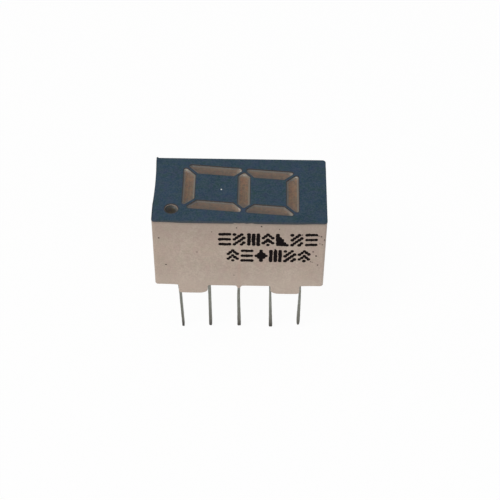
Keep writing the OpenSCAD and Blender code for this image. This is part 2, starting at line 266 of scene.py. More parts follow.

# %% [markdown]
# ## White moulded plastic
#
# The case is satin plastic that has yellowed to a warm beige. Seen close it is never one colour:
# the tint drifts over a few millimetres, handling leaves faint dirt in patches, and the mould's
# spark-worn steel leaves a fine grain. A faint upright witness line runs down the long side, where
# the plastic met behind the middle well. The walls are lighter towards the foot and darker towards
# the face, darkest in a narrow band just under it. Noise at a few sizes and three bands of height
# give it.

# %% Finish: case plastic
def case_plastic():
    plastic = Finish("case_plastic", (192, 173, 159), 0.5, Specular_IOR_Level=0.22)
    drift = plastic.patches(2.6, 0.35, 0.65, detail=2.0, rough=0.5)
    plastic.coat(drift, (197, 182, 168))
    pink = plastic.patches(0.5, 0.4, 0.68, 0.6, place=plastic.stretched(1.0, 1.0, 0.5))
    plastic.coat(pink, (184, 160, 151))
    green = plastic.patches(0.72, 0.45, 0.7, 0.45)
    plastic.coat(green, (178, 170, 150))
    grain = plastic.patches(0.14, 0.38, 0.64, 0.7, rough=0.8)
    plastic.coat(grain, (170, 153, 141))
    line = plastic.ramp(sums(plastic.tree, "ABSOLUTE", plastic.axis("X")), 0.02, 0.22, 0.25, 0.0)
    plastic.coat(line, (186, 152, 139))
    height = plastic.axis("Z")
    # Three bands of height: darker towards the face, lighter towards the foot, and darkest in a narrow band
    # just under the face.
    darker_towards_face = plastic.ramp(height, brim_z - 3.4, brim_z - 0.1, 0.0, 0.42)
    plastic.coat(darker_towards_face, (152, 138, 128))
    handled = plastic.patches(0.8, 0.52, 0.72, 0.2, detail=4.0, rough=0.65)
    plastic.coat(handled, (162, 146, 130))
    lighter_towards_foot = plastic.ramp(height, brim_z - 7.2, brim_z - 4.8, 0.4, 0.0)
    plastic.coat(lighter_towards_foot, (206, 190, 176))
    band_under_face = plastic.ramp(height, brim_z - 0.32, brim_z - 0.04, 0.0, 0.4)
    plastic.coat(band_under_face, (128, 118, 110))
    normal = plastic.bump(plastic.spots(0.05, 3.0), 0.004, 0.6)
    normal = plastic.bump(plastic.spots(1.3, 1.0), 0.012, over=normal)
    return plastic.finish(plastic.sheen(0.5, 0.44, 0.6, detail=3.0), normal)


# %% [markdown]
# ## Face ink
#
# The dark layer is thick screen ink: slate blue, matt, with the faint cloudiness of a single pass
# and the orange peel of a skin that dried before it levelled. It is worn along the near edge, and
# a dark brown halo surrounds each window: painted glow of the resin on the ink. Fine dust shows on
# it as paler points, and one pinhole lets the white plastic through in the lower loop.

# %% Finish: face ink
PINHOLE = (-1.52, 0.08, face_z)
PINHOLE_RADIUS = 0.046


def face_ink():
    ink = Finish("face_ink", (34, 60, 72), 0.6, Specular_IOR_Level=0.12)
    cloud = ink.patches(1.1, 0.3, 0.7)
    ink.coat(cloud, (43, 65, 86))
    tint = ink.patches(0.45, 0.4, 0.65, 0.55)
    ink.coat(tint, (47, 72, 67))
    violet = ink.patches(0.62, 0.48, 0.68, 0.5)
    ink.coat(violet, (56, 61, 90))
    grain = ink.patches(0.15, 0.4, 0.62, 0.8, rough=0.8)
    ink.coat(grain, (63, 78, 93))
    worn = ink.ramp(ink.axis("Y"), ink_low.y / MM + 0.02, ink_low.y / MM + 0.3, 0.5, 0.0)
    ink.coat(worn, (84, 78, 73))
    thick = ink.ramp(ink.axis("X"), ink_low.x / MM + 0.04, ink_low.x / MM + 0.16, 0.6, 0.0)
    ink.coat(thick, (30, 34, 38))
    # A brownish halo beside each window: painted glow of the resin on the ink.
    ink.coat(ink.both(ink.painted("beside"), 0.75), (72, 62, 56))
    dust = ink.ramp(ink.cells(0.34), 0.035, 0.07, 0.5, 0.0)
    dusty = ink.patches(0.7, 0.5, 0.62, detail=1.0, rough=0.5)
    ink.coat(ink.both(dust, dusty), (110, 116, 118))
    ink.coat(ink.near(PINHOLE, PINHOLE_RADIUS, 0.02), (255, 255, 250))
    normal = ink.bump(ink.spots(0.16), 0.008, 0.6)
    normal = ink.bump(ink.spots(0.04), 0.002, over=normal)
    return ink.finish(ink.sheen(0.6, 0.52, 0.7, detail=3.0), normal)


# %% [markdown]
# ## Cast resin
#
# The wells are filled with resin that is tinted and made cloudy, so that a whole bar glows evenly.
# Unlit it is a dull brown, greyer where it is thin over the walls. Light and shade are painted on
# it too: each bar is painted dark at its left or near end as shade and paler towards its right or
# far end as light, that end has painted highlights in patches, and the thin resin is painted
# lighter over the walls that face the light. A little light goes under its smooth skin, which
# subsurface scattering gives, and long soft streaks run the way the resin was drawn in. The point's
# resin lies deep in its well: dark on its floor, painted shade of the deep well, with a sheet of
# resin up the wall away from the light as painted shade too, and olive grey near the wall, painted
# lighter where the wall faces the light.

# %% Finish: cast resin
def well_resin():
    resin = Finish("well_resin", (64, 58, 54), 0.35, Specular_IOR_Level=0.13, Subsurface_Weight=0.2,
                   Subsurface_Scale=0.2 * MM)
    along = resin.painted("along")
    # Painted shade and light along each bar: the dark base shows at its left or near end, and it pales
    # towards its right or far end, where the light falls.
    resin.coat(resin.ramp(along, 0.0, 0.13), (101, 72, 42))
    resin.coat(resin.ramp(along, 0.2, 1.0), (158, 111, 73))
    uneven = resin.patches(0.8, 0.42, 0.66, 0.35, detail=2.0)
    resin.coat(uneven, (98, 70, 48))
    cloudy = resin.patches(0.26, 0.47, 0.57, 0.55, rough=0.7)
    resin.coat(cloudy, (146, 103, 58))
    rosy = resin.patches(0.42, 0.5, 0.64, 0.5, detail=1.0, rough=0.5)
    resin.coat(rosy, (138, 80, 52))
    filler = resin.patches(0.16, 0.46, 0.57, 0.85, rough=0.8)
    resin.coat(filler, (80, 52, 29))
    streaks = resin.painted_place("across", "along", 0.3)
    drawn = resin.patches(0.12, 0.46, 0.6, 0.42, detail=2.0, place=streaks)
    resin.coat(drawn, (150, 107, 64))
    # Grey where the resin is thin over the wall, and painted lighter where that wall faces the light, as
    # painted light.
    edge = resin.mix(resin.painted("clear"), (91, 92, 92), (131, 126, 118))
    resin.coat(resin.both(resin.painted("rim"), 0.95), edge)
    # Painted highlights in patches at each bar's right or far end, where the light falls on the well's end
    # wall.
    far_end_highlight_patches = resin.ramp(resin.spots(0.16), 0.38, 0.6, 0.35, 0.9)
    resin.coat(resin.both(resin.ramp(along, 0.89, 0.98), far_end_highlight_patches), (152, 144, 134))
    far_end_highlight_spots = resin.patches(0.12, 0.54, 0.6, 0.65, detail=1.0, rough=0.5)
    resin.coat(resin.both(resin.ramp(along, 0.955, 0.985), far_end_highlight_spots), (206, 201, 192))
    return resin.finish(resin.sheen(0.5, 0.28, 0.45), resin.bump(resin.spots(0.22), 0.006))


def point_resin():
    # The point's resin is painted darker than the bars' as the shade of its deep well.
    resin = Finish("point_resin", (45, 39, 38), 0.38, Specular_IOR_Level=0.17)
    warm = resin.patches(0.3, 0.35, 0.65, detail=2.0, rough=0.5)
    resin.coat(warm, (60, 53, 33))
    filler = resin.patches(0.1, 0.42, 0.72, 0.5, detail=2.0, rough=0.7)
    resin.coat(filler, (40, 33, 30))
    # Grey near the wall, and painted lighter where the wall faces the light, as painted light.
    edge = resin.mix(resin.painted("clear"), (68, 70, 70), (100, 103, 102))
    resin.coat(resin.painted("rim"), edge)
    return resin.finish(normal=resin.bump(resin.spots(0.2), 0.006))


# %% [markdown]
# ## Tinned leads and solder
#
# The leads are copper alloy with a hot dip of tin. Old tin is grey and dull, with long streaks from
# drawing, and it is darkest near the tips, where the last dip of flux burnt on. The solder under
# the board is the same metal, but fresher.

# %% Finish: metals
def lead_tin():
    tin = Finish("lead_tin", (120, 122, 115), 0.42, Metallic=1.0)
    streaks = tin.patches(0.1, 0.3, 0.7, place=tin.stretched(1.0, 1.0, 0.12))
    tin.coat(streaks, (139, 140, 132))
    dull = tin.patches(0.35, 0.4, 0.7, 0.6)
    tin.coat(dull, (104, 99, 90))
    aged = tin.ramp(tin.axis("Z"), tips_z + 0.6, tips_z + 3.4, 0.5, 0.0)
    tin.coat(aged, (92, 88, 83))
    burnt = tin.ramp(tin.axis("Z"), tips_z + 0.1, tips_z + 1.3, 0.85, 0.0)
    tin.coat(burnt, (67, 63, 59))
    ripples = tin.spots(0.07, place=tin.stretched(1.0, 1.0, 0.25))
    return tin.finish(tin.sheen(0.12, 0.34, 0.55), tin.bump(ripples, 0.006, 0.6))


def solder_alloy():
    alloy = Finish("solder_alloy", (168, 168, 166), 0.25, Metallic=1.0)
    frost = alloy.patches(0.06, 0.35, 0.7, rough=0.5)
    alloy.coat(frost, (188, 188, 184))
    return alloy.finish(alloy.sheen(0.1, 0.2, 0.4), alloy.bump(alloy.spots(0.05), 0.003))


def copper():
    metal = Finish("copper", (205, 138, 98), 0.35, Metallic=1.0)
    tarnish = metal.patches(0.5, 0.35, 0.7, detail=4.0, rough=0.5)
    metal.coat(tarnish, (170, 104, 74))
    return metal.finish(normal=metal.bump(metal.spots(0.04), 0.002))


def bond_gold():
    metal = Finish("bond_gold", (232, 190, 96), 0.22, Metallic=1.0)
    streaks = metal.patches(0.02, 0.3, 0.7, detail=2.0, rough=0.5)
    metal.coat(streaks, (214, 170, 84))
    return metal.finish()


# %% [markdown]
# ## The parts that the case hides
#
# The board, the dice and the potting are closed in, but the potting shows from below, and each of
# them still gets its own finish: laminate with a woven pattern, sawn crystal, and resin that set
# with a glossy skin and a few tiny bubbles. The ink of the printed marks is nearly black.

# %% Finish: board, dice, potting and marks
def board_laminate():
    board = Finish("board_laminate", (168, 160, 96), 0.45)
    warp = board.patches(0.2, 0.3, 0.7, detail=1.0, rough=0.5, place=board.stretched(1.0, 0.2, 1.0))
    weft = board.patches(0.2, 0.3, 0.7, detail=1.0, rough=0.5, place=board.stretched(0.2, 1.0, 1.0))
    weave = board.both(warp, weft)
    board.coat(weave, (190, 182, 122))
    return board.finish(normal=board.bump(weave, 0.01))


def die_crystal():
    crystal = Finish("die_crystal", (170, 140, 70), 0.2)
    saw = crystal.patches(0.03, 0.3, 0.7, detail=2.0, rough=0.5, place=crystal.stretched(1.0, 1.0, 6.0))
    crystal.coat(saw, (140, 112, 56))
    return crystal.finish()


def potting_resin():
    resin = Finish("potting_resin", (150, 128, 106), 0.3)
    cloud = resin.patches(1.4, 0.3, 0.7, rough=0.5)
    resin.coat(cloud, (163, 141, 118))
    bubble = resin.ramp(resin.cells(0.6), 0.04, 0.07, 0.6, 0.0)
    resin.coat(bubble, (120, 98, 80))
    return resin.finish(resin.sheen(0.6, 0.2, 0.4), resin.bump(resin.spots(0.9), 0.02))


def mark_ink():
    ink = Finish("mark_ink", (8, 4, 4), 0.6, Specular_IOR_Level=0.05)
    thin = ink.patches(0.12, 0.3, 0.75, detail=2.0, rough=0.5)
    ink.coat(thin, (20, 13, 12))
    return ink.finish()


# %% [markdown]
# ## Give every CAD node its finish
#
# The record says which slot each node takes. Each finish is named after its slot, so one table
# covers them all. The point's resin and the marks' ink are finishes apart: no slot has them, and
# the pieces made further down ask for them by name.

# %% Assign the finishes
makers = (case_plastic, face_ink, well_resin, board_laminate, copper, die_crystal, bond_gold, lead_tin,
          solder_alloy, potting_resin, point_resin, mark_ink)
finishes = {make.__name__: make() for make in makers}

for part in frame["record"]["subparts"]:
    mesh = frame["nodes"][part["node"]].data
    mesh.materials.clear()
    mesh.materials.append(finishes[part["material_slot"]])
print("finishes:", ", ".join(sorted(finishes)))

# %% [markdown]
# ## Outlines from the frame
#
# Several pieces start from an outline that the CAD model already has, such as a window's edge. An
# outline is found as the chain of sharp edges that lie at one height. The other helpers measure it,
# turn it the same way round, divide it finely and draw it in.

# %% Outlines
SAME_HEIGHT = 1e-3 * MM
SHARP_ANGLE = 0.5


def merged_copy(node):
    """A CAD node's mesh as a bmesh whose loose triangles are joined."""
    work = bmesh.new()
    work.from_mesh(frame["nodes"][node].data)
    bmesh.ops.remove_doubles(work, verts=work.verts, dist=1e-4 * MM)
    return work


def rim_loops(node, height):
    """Each closed chain of sharp edges at that height, as a list of points in order, longest first."""
    work = merged_copy(node)
    beside = {}
    for edge in work.edges:
        level = all(abs(v.co.z - height) < SAME_HEIGHT for v in edge.verts)
        if level and edge.calc_face_angle(0) > SHARP_ANGLE:
            for one, other in (edge.verts, reversed(edge.verts)):
                beside.setdefault(one.index, []).append(other.index)
    points = {v.index: v.co.xy for v in work.verts}
    loops, seen = [], set()
    for start in sorted(beside):
        chain, here = [], None if start in seen else start
        while here is not None:
            seen.add(here)
            chain.append(points[here])
            here = next((n for n in beside[here] if n not in seen), None)
        if chain:
            loops.append(chain)
    work.free()
    return sorted(loops, key=around, reverse=True)


def sides(loop):
    """Each pair of neighbours round a closed loop."""
    return zip(loop, loop[1:] + loop[:1])


def around(loop):
    """The length of a closed loop."""
    return sum((b - a).length for a, b in sides(loop))


def turning(loop):
    """Twice the area inside a loop: above zero when it runs anticlockwise."""
    return sum(a.x * b.y - b.x * a.y for a, b in sides(loop))


def anticlockwise(loop):
    return loop if turning(loop) > 0 else loop[::-1]


def centre_of(loop):
    return sum(loop, Vector((0, 0))) / len(loop)


def divided(loop, step):
    """The same loop with points added, so that none lies further than a step from the next."""
    fine = []
    for a, b in sides(loop):
        count = max(1, math.ceil((b - a).length / step))
        fine += [a.lerp(b, k / count) for k in range(count)]
    return fine


def shrunk(loop, distance):
    """An anticlockwise loop with every point moved inwards by the same distance."""
    moved = []
    for before, point, after in zip(loop[-1:] + loop[:-1], loop, loop[1:] + loop[:1]):
        along = (after - before).normalized()
        moved.append(point + Vector((-along.y, along.x)) * distance)
    return moved


windows = rim_loops("face_ink", ink_high.z)
print("loops in the face:", [round(around(loop) / MM, 2) for loop in windows], "mm round")

# %% [markdown]
# ## From points to a piece
#
# A piece is made from lists of points and faces, with its place in its points and its object left
# at the origin. Stacked rings of points are joined by bands of quads. The last helper makes a piece
# ride on the one rigid body and says which CAD nodes it stands for.

# %% Pieces
def bands(first, count, levels):
    """Quads that join rings of that many points, stacked from the first point on."""
    quads = []
    for base in range(first, first + (levels - 1) * count, count):
        for i in range(count):
            j = (i + 1) % count
            quads.append((base + i, base + j, base + count + j, base + count + i))
    return quads


def make_piece(name, points, faces, finish, smooth=True):
    """A mesh object at the origin, with its place in its points."""
    mesh = bpy.data.meshes.new(name)
    mesh.from_pydata([tuple(p) for p in points], [], faces)
    mesh.materials.append(finish)
    mesh.update()
    if smooth:
        mesh.shade_smooth()
    return linked(name, mesh)


def creased(piece, degrees, slivers=0.0):
    """Smooth shading that stays sharp where a piece turns by more than the angle; slivers are taken out."""
    work = bmesh.new()
    work.from_mesh(piece.data)
    if slivers:
        bmesh.ops.dissolve_degenerate(work, edges=work.edges, dist=slivers)
    for edge in work.edges:
        edge.smooth = edge.calc_face_angle(0) < math.radians(degrees)
    for face in work.faces:
        face.smooth = True
    work.to_mesh(piece.data)
    work.free()
    return piece


def settle(piece, slot, *nodes):
    """The piece rides on the rigid body and may stand for CAD nodes. The slot is not used."""
    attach(piece, "root")
    if nodes:
        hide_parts(*nodes)
    print(piece.name, "has", len(piece.data.polygons), "faces")
    return piece


# %% [markdown]
# ## Small rules
#
# The soft shapes below are rules of a place: a smooth step, a value held between 0 and 1, and
# smooth noise with lumps of a known size. Thick walls also sink a little as they cool. One rule
# says where a point of the moulding went, and the same rule moves the ink and the marks on it.

# %% Steps, lumps and the walls' sink
LONG_WALL_SINK = 0.07
LONG_WALL_FROM, LONG_WALL_TO = 4.2, 6.2
NEAR_FROM, NEAR_TO = 2.7, 3.5
END_WALL_SINK = 0.09
END_FROM, END_TO = 6.2, 6.8
HOLLOW_MIDDLE, HOLLOW_HALF = 1.0, 2.8


def held(value):
    """The value, kept from 0 to 1."""
    return min(1.0, max(0.0, value))


def step_up(value, start, end):
    """A smooth step from 0 at the start to 1 at the end."""
    share = held((value - start) / (end - start))
    return share * share * (3 - 2 * share)


def lumps(x, y, z, size):
    """Smooth noise from -1 to 1 with lumps of that size, in the unit of the place."""
    return noise.noise(Vector((x, y, z)) / size)


def cooled(point):
    """Where a point went as the moulding cooled: the near wall sank at its ends, one end wall amid."""
    x, y = point.x / MM, point.y / MM
    near = LONG_WALL_SINK * step_up(abs(x), LONG_WALL_FROM, LONG_WALL_TO) * step_up(-y, NEAR_FROM, NEAR_TO)
    hollow = max(0.0, 1 - ((y - HOLLOW_MIDDLE) / HOLLOW_HALF) ** 2)
    end = END_WALL_SINK * hollow * step_up(-x, END_FROM, END_TO)
    return Vector((point.x + end * MM, point.y + near * MM, point.z))


near_corner = Vector((case_high.x, case_low.y, case_high.z))
print("a near corner sinks by", round((cooled(near_corner) - near_corner).length / MM, 3), "mm")

# %% [markdown]
# ## The case, with its moulded edges
#
# No moulded edge is perfectly sharp. The CAD case could be drawn with every edge rounded, but that
# costs it its clean faces. A copy is bevelled here instead: its triangles are joined, flat faces
# are merged, and the outer edges that turn sharply get a radius of a few hundredths of a
# millimetre. The wells are left as they are, because ink and resin cover their edges. The copy is
# then cut across in a few places, so that its walls can follow the sink.

# %% Bevel the case
CASE_EDGE_RADIUS = 0.06 * MM
OUTER_SKIN = 0.45 * MM
FLAT_ANGLE, BEVEL_ANGLE = math.radians(1), math.radians(35)
CASE_CUTS_X = (-6.2, -5.7, -5.2, -4.7, -4.2, 4.2, 4.7, 5.2, 5.7, 6.2)
CASE_CUTS_Y = (-1.8, -1.2, -0.4, 0.4, 1.0, 1.6, 2.4, 3.0)


def is_outer(edge):
    """True for an edge under the potting or close to the outside of a wall."""
    middle = (edge.verts[0].co + edge.verts[1].co) / 2
    skin = abs(middle.y) > case_high.y - OUTER_SKIN or abs(middle.x) > case_high.x - OUTER_SKIN
    return skin or middle.z < potting_low.z


def moulded_case():
    work = merged_copy("reflector_case")
    bmesh.ops.dissolve_limit(work, angle_limit=FLAT_ANGLE, verts=work.verts, edges=work.edges)
    sharp = [
        edge for edge in work.edges
        if edge.is_manifold and edge.calc_face_angle(0) > BEVEL_ANGLE and is_outer(edge)
    ]
    bmesh.ops.bevel(
        work, geom=sharp, offset=CASE_EDGE_RADIUS, segments=3, profile=0.5, affect="EDGES", clamp_overlap=True
    )
    bmesh.ops.triangulate(work, faces=[face for face in work.faces if len(face.verts) > 4])
    cuts = [((x * MM, 0, 0), (1, 0, 0)) for x in CASE_CUTS_X]
    cuts += [((0, y * MM, 0), (0, 1, 0)) for y in CASE_CUTS_Y]
    for place, across in cuts:
        everything = [*work.verts, *work.edges, *work.faces]
        bmesh.ops.bisect_plane(work, geom=everything, plane_co=place, plane_no=across)
    bmesh.ops.remove_doubles(work, verts=work.verts, dist=2e-3 * MM)
    for vertex in work.verts:
        vertex.co = cooled(vertex.co)
    mesh = bpy.data.meshes.new("moulded_case")
    work.to_mesh(mesh)
    work.free()
    mesh.materials.append(finishes["case_plastic"])
    return creased(linked("moulded_case", mesh), 28)


settle(moulded_case(), "case_plastic", "reflector_case")

# %% [markdown]
# ## The stub of the gate
#
# The plastic entered the mould under the rim of the long side. Where the sprue broke off, a small
# mound still hangs from the rim. It is part of the moulding, but the CAD case does not have it. Its
# outline is a bell curve, and it starts just inside the rim so that no gap shows.

# %% Break off the gate
STUB_MIDDLE = -0.02
STUB_SPREAD = 0.15
STUB_DROP = 0.36
STUB_LOW_Y, STUB_HIGH_Y = 0.07, 0.34
STUB_BURIED = 0.05
STUB_REACH = 2.8
STUB_STRIPS = 16
STUB_SOFT, STUB_LEAST_SOFT = 0.25, 0.004


def gate_stub():
    """The mound as strips across the wall: its foot is inside the rim and its crest hangs below."""
    rim = min(p.z for p in case_points if p.x < case_low.x + 0.1 * MM) / MM
    near, far = case_low.y / MM + STUB_LOW_Y, case_low.y / MM + STUB_HIGH_Y
    end = 1 / (1 + STUB_REACH ** 4)
    points = []
    for strip in range(-STUB_STRIPS, STUB_STRIPS + 1):
        away = STUB_REACH * strip / STUB_STRIPS
        crest = rim - STUB_DROP * (1 / (1 + away ** 4) - end) / (1 - end)
        soft = STUB_SOFT * (rim - crest) + STUB_LEAST_SOFT
        profile = (
            (near, rim + STUB_BURIED), (near, crest + soft), (near + 0.25 * soft, crest + 0.3 * soft),
            (near + soft, crest), (far - soft, crest), (far, crest + soft), (far, rim + STUB_BURIED),
        )
        points += [Vector((STUB_MIDDLE + away * STUB_SPREAD, y, z)) * MM for y, z in profile]
    width = len(profile)
    faces = bands(0, width, len(points) // width)
    faces += [tuple(reversed(range(width))), tuple(range(len(points) - width, len(points)))]
    return creased(make_piece("gate_stub", points, faces, finishes["case_plastic"]), 50)


stub = settle(gate_stub(), "case_plastic")
print("stub reaches down to", round(min(v.co.z for v in stub.data.vertices) / MM, 3), "mm")

# %% [markdown]
# ## The ink, with its wandering edge
#
# A printed sheet of ink has soft upper edges, and its outer edge wanders where the print ran over
# the corner of the case. Along the long side a stretch of it has chipped, and the white plastic
# shows there. The outline is taken from the CAD ink, divided finely, and drawn in by smooth noise,
# so that it never grows past the model. The ink has crept into the windows too, all but a thin
# ledge. Rings of points and two flat caps make the sheet. A window has one ring more than the
# outline, which ends the halo of painted glow around it.

# %% Print the ink
INK_STEP = 0.06 * MM
INK_WANDER = 0.022 * MM
INK_SOFT_EDGE, INK_ROUNDING = 0.018 * MM, 0.3
INK_CREEP = 0.025 * MM
INK_HALO = 0.075 * MM
CHIP_FROM, CHIP_TO = -0.6 * MM, 1.4 * MM
CHIP_ENDS, CHIP_DEPTH = 0.25 * MM, 0.085 * MM
SLOW_LUMPS, FAST_LUMPS, CHIP_LUMPS, CREEP_LUMPS = 0.9 * MM, 0.16 * MM, 0.24 * MM, 0.25 * MM


def chipped(point, _way):
    """How far the outer edge is drawn in: a little everywhere, and more where it is chipped."""
    slow = lumps(point.x, point.y, 0, SLOW_LUMPS) * 0.5 + 0.5
    fast = lumps(point.x, point.y, 3 * MM, FAST_LUMPS) * 0.5 + 0.5
    drawn = INK_WANDER * (0.6 * slow + 0.4 * fast)
    if point.y < ink_low.y + 0.2 * MM and CHIP_FROM < point.x < CHIP_TO:
        ends = min(1.0, min(point.x - CHIP_FROM, CHIP_TO - point.x) / CHIP_ENDS)
        broken = lumps(point.x, 0, 7 * MM, CHIP_LUMPS) * 0.5 + 0.5
        drawn += CHIP_DEPTH * ends * max(0.0, broken * 1.6 - 0.35)
    return drawn


def crept(point, way):
    """How far the edge of a window has crept in: least along its far side."""
    wander = abs(lumps(point.x, point.y, 0, CREEP_LUMPS))
    return INK_CREEP * (1 + min(0.0, way.y)) - INK_WANDER * 0.7 * wander


def drawn_in(loop, rule):
    """A loop, divided finely, with each point moved inwards as the rule says."""
    fine = divided(anticlockwise(loop), INK_STEP)
    ways = [goal - point for point, goal in zip(fine, shrunk(fine, 1.0))]
    return [point + way * rule(point, way) for point, way in zip(fine, ways)]


def sheet_with_windows(outer, holes):
    """Points and faces of a flat sheet with soft upper edges, and which points are beside a window."""
    low, high, soft = ink_low.z, ink_high.z, INK_SOFT_EDGE
    points, faces, beside, caps = [], [], [], []
    for loop, into in [(outer, soft)] + [(hole, -soft) for hole in holes]:
        is_hole = into < 0
        rings = [(loop, low), (loop, high - soft)]
        rings += [(shrunk(loop, into * INK_ROUNDING), high - soft * INK_ROUNDING), (shrunk(loop, into), high)]
        beside += [float(is_hole)] * len(loop) * len(rings)
        if is_hole:
            rings.append((shrunk(loop, into - INK_HALO), high))
            beside += [0.0] * len(loop)
        first = len(points)
        points += [cooled(Vector((p.x, p.y, z))) for ring, z in rings for p in ring]
        quads = bands(first, len(loop), len(rings))
        faces += [quad[::-1] for quad in quads] if is_hole else quads
        caps.append((first, len(points) - len(loop), len(loop)))
    for upper in (True, False):
        edges = [range(top, top + count) if upper else range(base, base + count) for base, top, count in caps]
        flat = [k for edge in edges for k in edge]
        joined = geometry.tessellate_polygon([[points[k] for k in edge] for edge in edges])
        cap = [tuple(flat[k] for k in corners) for corners in joined]
        area = sum((points[b] - points[a]).cross(points[c] - points[a]).z for a, b, c in cap)
        faces += cap if (area > 0) == upper else [(a, c, b) for a, b, c in cap]
    return points, faces, beside


def printed_ink():
    holes = [drawn_in(loop, crept) for loop in windows[1:]]
    points, faces, beside = sheet_with_windows(drawn_in(windows[0], chipped), holes)
    piece = make_piece("printed_ink", points, faces, finishes["face_ink"])
    piece.data.attributes.new("beside", "FLOAT", "POINT").data.foreach_set("value", beside)
    return creased(piece, 50, slivers=1e-3 * MM)


settle(printed_ink(), "face_ink", "face_ink")

# %% [markdown]
# ## Resin with a hollow skin
#
# Resin shrinks as it sets and clings to the plastic, so each bar has a hollow skin: it meets the
# brim of its well, and sinks towards its middle. The point is filled less. There the resin is a
# floor deep in the well, and it climbs the wall, highest on the side away from the light: that
# higher sheet is painted shade. Both are rules of the distance to the wall, the gap, and of the way
# that the wall faces. All of it is in millimetres.

# %% The skins' rules
LEDGE = 0.035
FILM = 0.006
FILM_WIDTH = 0.02
DISH_DEPTH = 0.075
DISH_REACH = 0.42
RIM_REACH = 0.28
RIM_WIDER = 0.08
POINT_FLOOR = 0.26
POINT_RIM = 1.3
FILM_REACH = 0.09
# The resin climbs every wall a little; the extra climb on the walls away from the light is painted shade.
FILM_LEAST, SHADE_SHEET_FROM, SHADE_SHEET_GROWTH = 0.45, 0.2, 1.2
# The way that the point's lit wall faces: it is left bare, and its rim is painted lighter.
LIT_POINT_WALL_WAY = Vector((1.0, -0.2)).normalized()


def bar_skin(gap, way):
    """How deep a bar's skin lies under the brim, and how much of a rim shows there."""
    reach = RIM_REACH + RIM_WIDER * abs(way.y)
    rimmed = step_up(reach - max(0.0, gap), 0.0, reach)
    if gap < 0:
        return -FILM, rimmed
    dish = DISH_DEPTH * (1 - (1 - min(1.0, gap / DISH_REACH)) ** 2)
    return dish - FILM * (1 - min(1.0, gap / FILM_WIDTH)), rimmed


def point_skin(gap, way):
    """The same in the point's well, where a sheet of resin climbs the wall, highest on the side away from the
    light, which is painted shade.
    """
    away_from_light = 0.5 - 0.5 * way.dot(LIT_POINT_WALL_WAY)
    near = math.exp(-max(0.0, gap) / FILM_REACH)
    covered = min(1.0, FILM_LEAST + SHADE_SHEET_GROWTH * max(0.0, away_from_light - SHADE_SHEET_FROM)) * near
    return POINT_FLOOR * (1 - covered), POINT_RIM * near


def nearest_wall(loop, point):
    """The distance to the nearest edge of an anticlockwise loop, and the way out through it."""
    best, way = math.inf, None
    for a, b in sides(loop):
        nearest, share = geometry.intersect_point_line(point, a, b)
        nearest = a if share < 0 else b if share > 1 else Vector(nearest[:2])
        if (nearest - point).length < best:
            best, way = (nearest - point).length, (b - a).normalized()
    return best, Vector((way.y, -way.x))


print("a wide bar's skin sinks by", bar_skin(DISH_REACH, Vector((0, 1)))[0], "mm")

# %% [markdown]
# ## Fill the wells
#
# A well's outline gives a few rings close to the wall, the outermost on the ledge that the ink
# leaves bare. A loose grid of points fills the middle, and a constrained Delaunay triangulation
# joins them. The sides of the plug follow the well down to its mouth.
#
# Each point also carries four values that the finishes read. "along" runs from a bar's dark end to
# its pale one, for painted shade and painted light, and the bars that run across the digit start a
# little lighter, as painted light. "across" is its place across the bar in millimetres. "rim" marks
# the thin resin near the wall, and "clear" says which way that wall faces: it is highest where the
# wall faces the light, for painted light on the rim.

# %% Cast the resin
RING_DISTANCES = (0.0, LEDGE, LEDGE + 0.02, LEDGE + 0.05, LEDGE + 0.09, LEDGE + 0.14)
WELL_STEP = 0.1 * MM
GRID_STEP, GRID_WANDER, GRID_MARGIN = 0.11, 0.25, 0.3
# The way that the lit walls face, for the painted light on the rims; the end walls get some of it too.
LIT_WALL_WAY, LIT_END_WALLS = Vector((0.9, 0.42)), 0.25
RIPPLE, RIPPLE_SIZE, RIPPLE_FROM = 0.006, 0.7, 0.1
BAR_LEAN = 0.087
# The crossbars start a little lighter: painted light.
LIT_FROM = 0.06
MOUTH_FIT = 0.98


def resin_points(outline, seed):
    """The rings by the wall and the loose grid inside them, as flat points in millimetres."""
    scatter = random.Random(seed)
    rings = [shrunk(outline, distance) if distance else outline for distance in RING_DISTANCES]
    flat = [p for ring in rings for p in ring]
    last = rings[-1]
    low = Vector((min(p.x for p in outline), min(p.y for p in outline)))
    high = Vector((max(p.x for p in outline), max(p.y for p in outline)))
    for column in range(math.ceil((high.x - low.x) / GRID_STEP)):
        for row in range(math.ceil((high.y - low.y) / GRID_STEP)):
            wander = Vector([scatter.uniform(-GRID_WANDER, GRID_WANDER) for axis in "xy"])
            point = low + (Vector((column + 0.5, row + 0.5)) + wander) * GRID_STEP
            inside = all((b - a).cross(point - a) > 0 for a, b in sides(last))
            if inside and nearest_wall(last, point)[0] > GRID_MARGIN * GRID_STEP:
                flat.append(point)
    return flat


def flat_skin(brim, seed):
    """The skin's flat points, its triangles, and which of its points each of the brim's became."""
    ring = list(range(len(brim)))
    starts = range(0, len(RING_DISTANCES) * len(ring), len(ring))
    edges = [(start + i, start + j) for start in starts for i, j in sides(ring)]
    joined = geometry.delaunay_2d_cdt(resin_points(brim, seed), edges, [ring], 1, 1e-6)
    became = {i: k for k, sources in enumerate(joined[3]) for i in sources if i < len(ring)}
    return joined[0], [tuple(corners) for corners in joined[2]], became


